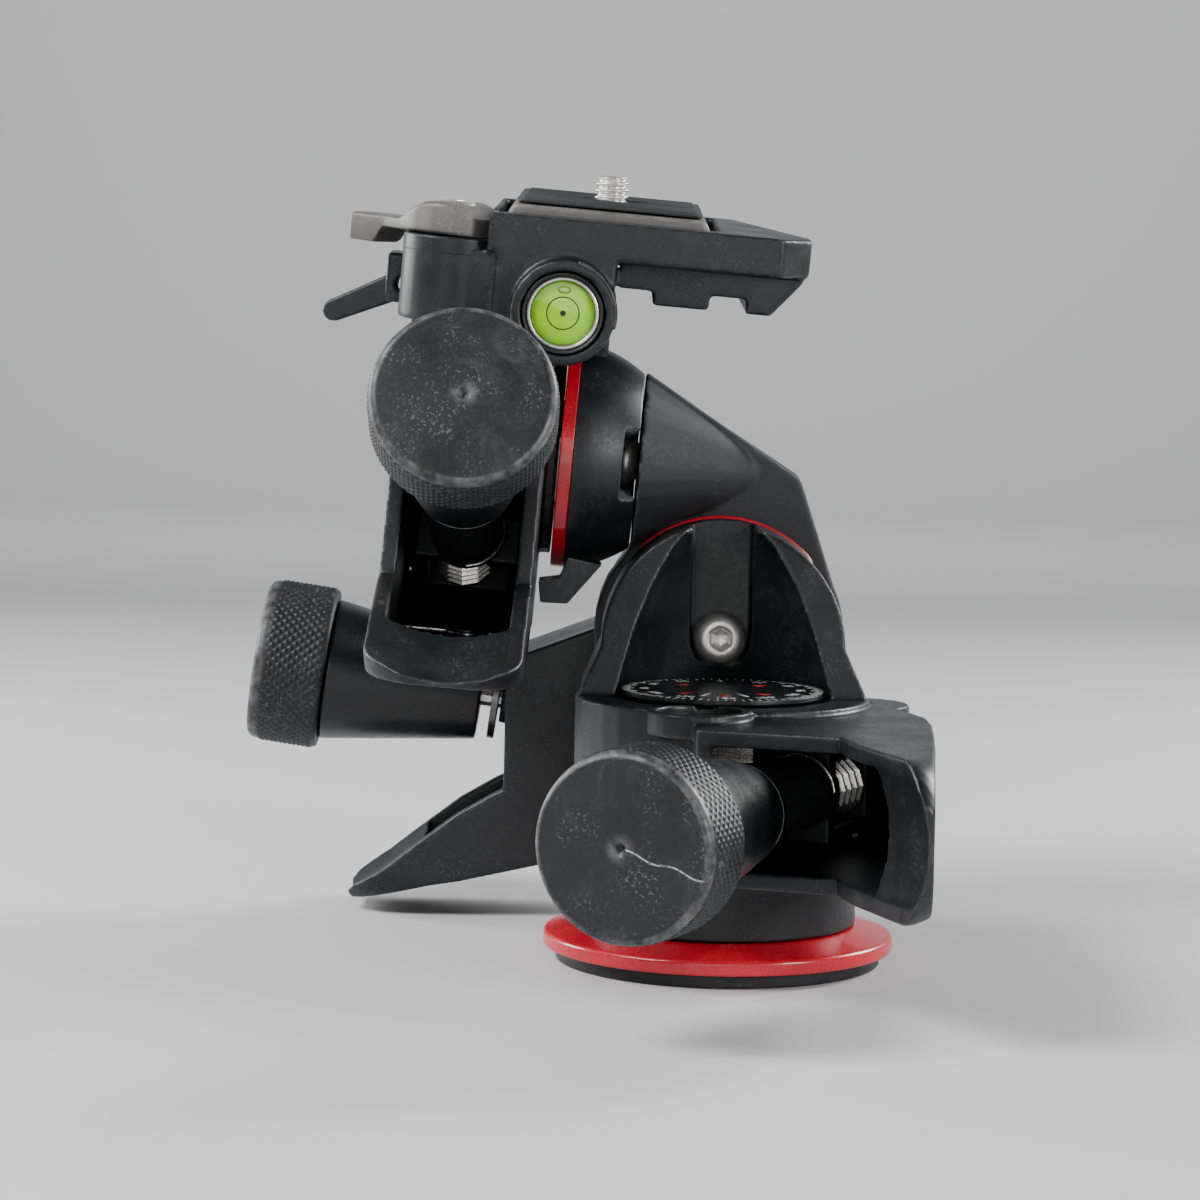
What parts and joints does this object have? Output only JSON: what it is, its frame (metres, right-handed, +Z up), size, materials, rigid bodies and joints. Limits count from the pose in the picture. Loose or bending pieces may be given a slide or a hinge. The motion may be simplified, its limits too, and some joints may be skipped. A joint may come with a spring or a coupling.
{
  "type": "geared tripod head",
  "caption": "Geared camera tripod head: a turning base, a rolling arm and a tilting quick-release platform, each moved by a knobbed worm drive with a sprung release wing.",
  "frame": {"origin": "on the pan axis, in the plane of the base's underside", "axes": "+Z up along the pan axis; -Y toward the side of the pan and pitch knobs; the roll axis lies along Y at rest"},
  "size_m": [0.1281, 0.1619, 0.1454],
  "materials": {
    "black_casting": "satin black glass-filled casting resin",
    "dial": "satin black with white marks",
    "gear_brass": "machined",
    "grey_casting": "finely textured dark grey paint on cast aluminium",
    "knob_rubber": "matt, knurled",
    "level_vial": "bright green fluid under a clear cap",
    "pad_rubber": "matt, finely ribbed",
    "plate_metal": "grey die-cast, satin",
    "red_ring": "glossy red anodising",
    "spring_steel": "dark, oiled",
    "steel": "bright"
  },
  "bodies": {
    "base": {"base_foot": "black_casting", "base_ring": "red_ring", "base_drum": "black_casting", "tripod_bush": "steel", "pan_column": "steel", "pan_thrust_ring": "gear_brass", "pan_worm_wheel": "gear_brass", "column_nut": "steel", "pan_dial": "dial"},
    "pan_body": {"pan_housing": "black_casting", "pan_level_bezel": "steel", "pan_level_vial": "level_vial", "roll_drive_frame": "black_casting", "roll_axle_screw": "steel", "pan_pivot_pin": "steel", "pan_return_spring": "spring_steel", "roll_pivot_pin": "steel", "roll_return_spring": "spring_steel"},
    "roll_arm": {"arm": "grey_casting", "pitch_housing": "black_casting", "roll_ring": "red_ring", "roll_hub": "steel", "roll_worm_wheel": "gear_brass", "pitch_ring": "red_ring", "pitch_hub": "steel", "pitch_worm_wheel": "gear_brass", "pitch_axle_screw": "steel"},
    "tilt_head": {"platform": "black_casting", "pitch_drive_frame": "black_casting", "head_level_bezel": "steel", "head_level_vial": "level_vial", "pitch_pivot_pin": "steel", "pitch_return_spring": "spring_steel", "lever_screw": "steel", "catch_pin": "steel"},
    "clamp_lever": {"clamp_lever": "plate_metal"},
    "safety_catch": {"safety_catch": "black_casting"},
    "plate": {"quick_plate": "plate_metal", "plate_pad": "pad_rubber"},
    "camera_screw": {"camera_screw": "steel"},
    "pan_carrier": {"pan_worm_carrier": "grey_casting", "pan_thrust_washer": "steel"},
    "pan_knob": {"pan_worm": "steel", "pan_knob_core": "black_casting", "pan_knob_grip": "knob_rubber"},
    "roll_carrier": {"roll_worm_carrier": "grey_casting", "roll_thrust_washer": "steel"},
    "roll_knob": {"roll_worm": "steel", "roll_knob_core": "black_casting", "roll_knob_grip": "knob_rubber"},
    "pitch_carrier": {"pitch_worm_carrier": "grey_casting", "pitch_thrust_washer": "steel"},
    "pitch_knob": {"pitch_worm": "steel", "pitch_knob_core": "black_casting", "pitch_knob_grip": "knob_rubber"}
  },
  "joints": [
    {"name": "pan_turn", "type": "hinge", "parent": "base", "child": "pan_body", "pos_m": [0, 0, 0.034], "axis": [0, 0, 1], "continuous": true},
    {"name": "roll_tilt", "type": "hinge", "parent": "pan_body", "child": "roll_arm", "pos_m": [0, 0.03, 0.058], "axis": [0, 1, 0], "range_deg": [-5, 85.6]},
    {"name": "pitch_tilt", "type": "hinge", "parent": "roll_arm", "child": "tilt_head", "pos_m": [-0.04719, 0.029, 0.09322], "axis": [0.9971, 0, -0.0767], "range_deg": [-76, 26]},
    {"name": "pan_release", "type": "hinge", "parent": "pan_body", "child": "pan_carrier", "pos_m": [0.02544, 0.00329, 0.034], "axis": [0, 0, 1], "range_deg": [0, 7], "stiffness_Nm_per_rad": 2, "springref_deg": -5.73, "deforming": ["pan_return_spring"]},
    {"name": "roll_release", "type": "hinge", "parent": "pan_body", "child": "roll_carrier", "pos_m": [0.01079, 0.051, 0.03472], "axis": [0, -1, 0], "range_deg": [0, 7], "stiffness_Nm_per_rad": 2, "springref_deg": -5.73, "deforming": ["roll_return_spring"]},
    {"name": "pitch_release", "type": "hinge", "parent": "tilt_head", "child": "pitch_carrier", "pos_m": [-0.04911, 0.03415, 0.06816], "axis": [0.9971, 0, -0.0767], "range_deg": [0, 7], "stiffness_Nm_per_rad": 2, "springref_deg": -5.73, "deforming": ["pitch_return_spring"]},
    {"name": "pan_knob_spin", "type": "hinge", "parent": "pan_carrier", "child": "pan_knob", "pos_m": [0.01937, -0.00932, 0.034], "axis": [-0.4337, -0.9011, 0], "continuous": true},
    {"name": "roll_knob_spin", "type": "hinge", "parent": "roll_carrier", "child": "roll_knob", "pos_m": [-0.00307, 0.051, 0.03672], "axis": [-0.9898, 0, 0.1426], "continuous": true},
    {"name": "pitch_knob_spin", "type": "hinge", "parent": "pitch_carrier", "child": "pitch_knob", "pos_m": [-0.04872, 0.02112, 0.07328], "axis": [0.0281, -0.9304, 0.3654], "continuous": true},
    {"name": "lever_swing", "type": "hinge", "parent": "tilt_head", "child": "clamp_lever", "pos_m": [-0.05112, 0.0018, 0.13143], "axis": [0.0765, -0.0698, 0.9946], "range_deg": [-12, 55]},
    {"name": "catch_swing", "type": "hinge", "parent": "tilt_head", "child": "safety_catch", "pos_m": [-0.0606, 0.01789, 0.12414], "axis": [0.0054, 0.9976, 0.0696], "range_deg": [0, 18], "stiffness_Nm_per_rad": 0.02, "springref_deg": -11.46},
    {"name": "plate_lift", "type": "slide", "parent": "tilt_head", "child": "plate", "axis": [0.0765, -0.0698, 0.9946], "range_m": [0, 0.03]},
    {"name": "camera_screw_turn", "type": "hinge", "parent": "plate", "child": "camera_screw", "pos_m": [-0.02222, 0.02565, 0.13943], "axis": [0.0765, -0.0698, 0.9946], "continuous": true}
  ],
  "couplings": [
    {"joint": "pan_knob_spin", "follows": "pan_turn", "ratio": -36},
    {"joint": "roll_knob_spin", "follows": "roll_tilt", "ratio": -36},
    {"joint": "pitch_knob_spin", "follows": "pitch_tilt", "ratio": -36}
  ]
}
